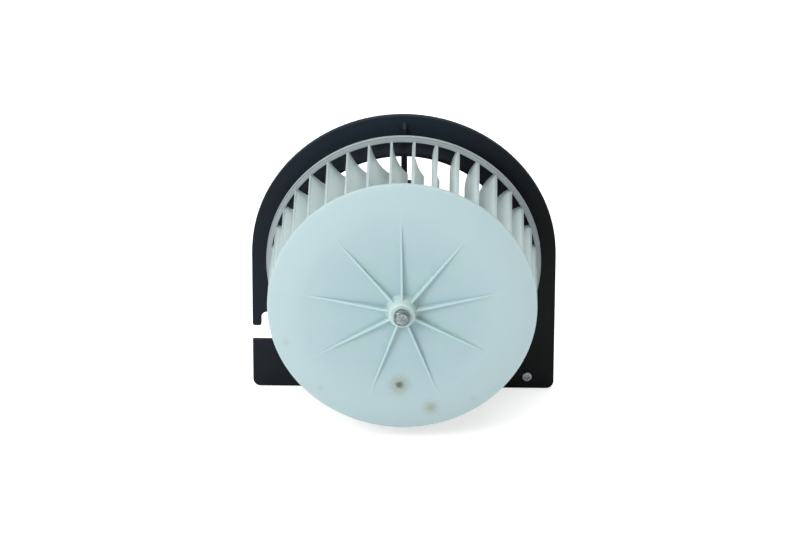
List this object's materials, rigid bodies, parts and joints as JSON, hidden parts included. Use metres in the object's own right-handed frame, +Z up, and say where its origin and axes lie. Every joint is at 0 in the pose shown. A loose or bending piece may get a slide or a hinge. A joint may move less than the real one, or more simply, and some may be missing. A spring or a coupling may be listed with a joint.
{
  "type": "car cabin blower motor",
  "caption": "Car cabin blower: arched black mounting frame with inlet bell, brush motor and squirrel cage wheel with a closed, ribbed disc.",
  "frame": {"origin": "on the spin axis, in the plane of the frame plate's front face", "axes": "+Z up, away from the plate's flat foot edge; -Y towards the wheel's closed disc; +X right"},
  "size_m": [0.1554, 0.1113, 0.1537],
  "materials": {
    "black_plastic": "fine-grained moulded polypropylene",
    "black_rubber": "matt",
    "zinc_steel": "zinc plated",
    "milky_plastic": "milky, slightly see-through, satin",
    "ground_steel": "ground",
    "sintered_bronze": "sintered",
    "oil_felt": "pressed felt",
    "spring_steel": "blued",
    "natural_plastic": "satin",
    "can_steel": "zinc plated, drawn",
    "ferrite": "sintered",
    "core_steel": "stamped laminations",
    "copper_wire": "enamelled",
    "brown_phenolic": "moulded",
    "copper_bar": "turned",
    "grey_plastic": "glass-filled moulding",
    "brass": "stamped",
    "carbon": "pressed carbon"
  },
  "bodies": {
    "motor_unit": {"brush_box_left": "brass", "brush_box_right": "brass", "brush_card": "brown_phenolic", "brush_lead_left": "copper_wire", "brush_lead_right": "copper_wire", "brush_left": "carbon", "brush_right": "carbon", "brush_spring_left": "spring_steel", "brush_spring_right": "spring_steel", "card_rivets": "brass", "choke_coil_left": "copper_wire", "choke_coil_right": "copper_wire", "choke_core_left": "ferrite", "choke_core_right": "ferrite", "damper_pads": "black_rubber", "end_cap": "grey_plastic", "fixing_screw": "zinc_steel", "front_bush": "sintered_bronze", "front_bush_clip": "spring_steel", "front_oil_felt": "oil_felt", "magnet_clip_bottom": "spring_steel", "magnet_clip_top": "spring_steel", "magnet_left": "ferrite", "magnet_right": "ferrite", "motor_can": "can_steel", "motor_grommets": "black_rubber", "motor_screws": "zinc_steel", "mounting_frame": "black_plastic", "rear_bush": "sintered_bronze", "rear_bush_clip": "spring_steel", "rear_oil_felt": "oil_felt", "terminal_left": "brass", "terminal_right": "brass"},
    "rotor": {"impeller": "milky_plastic", "motor_shaft": "ground_steel", "armature_core": "core_steel", "front_insulator": "natural_plastic", "rear_insulator": "natural_plastic", "armature_winding": "copper_wire", "commutator_hub": "brown_phenolic", "commutator_bars": "copper_bar", "front_thrust_washer": "natural_plastic", "rear_thrust_washer": "natural_plastic"}
  },
  "joints": [
    {"name": "wheel_spin", "type": "hinge", "parent": "motor_unit", "child": "rotor", "pos_m": [0, 0, 0], "axis": [0, 1, 0], "continuous": true}
  ]
}
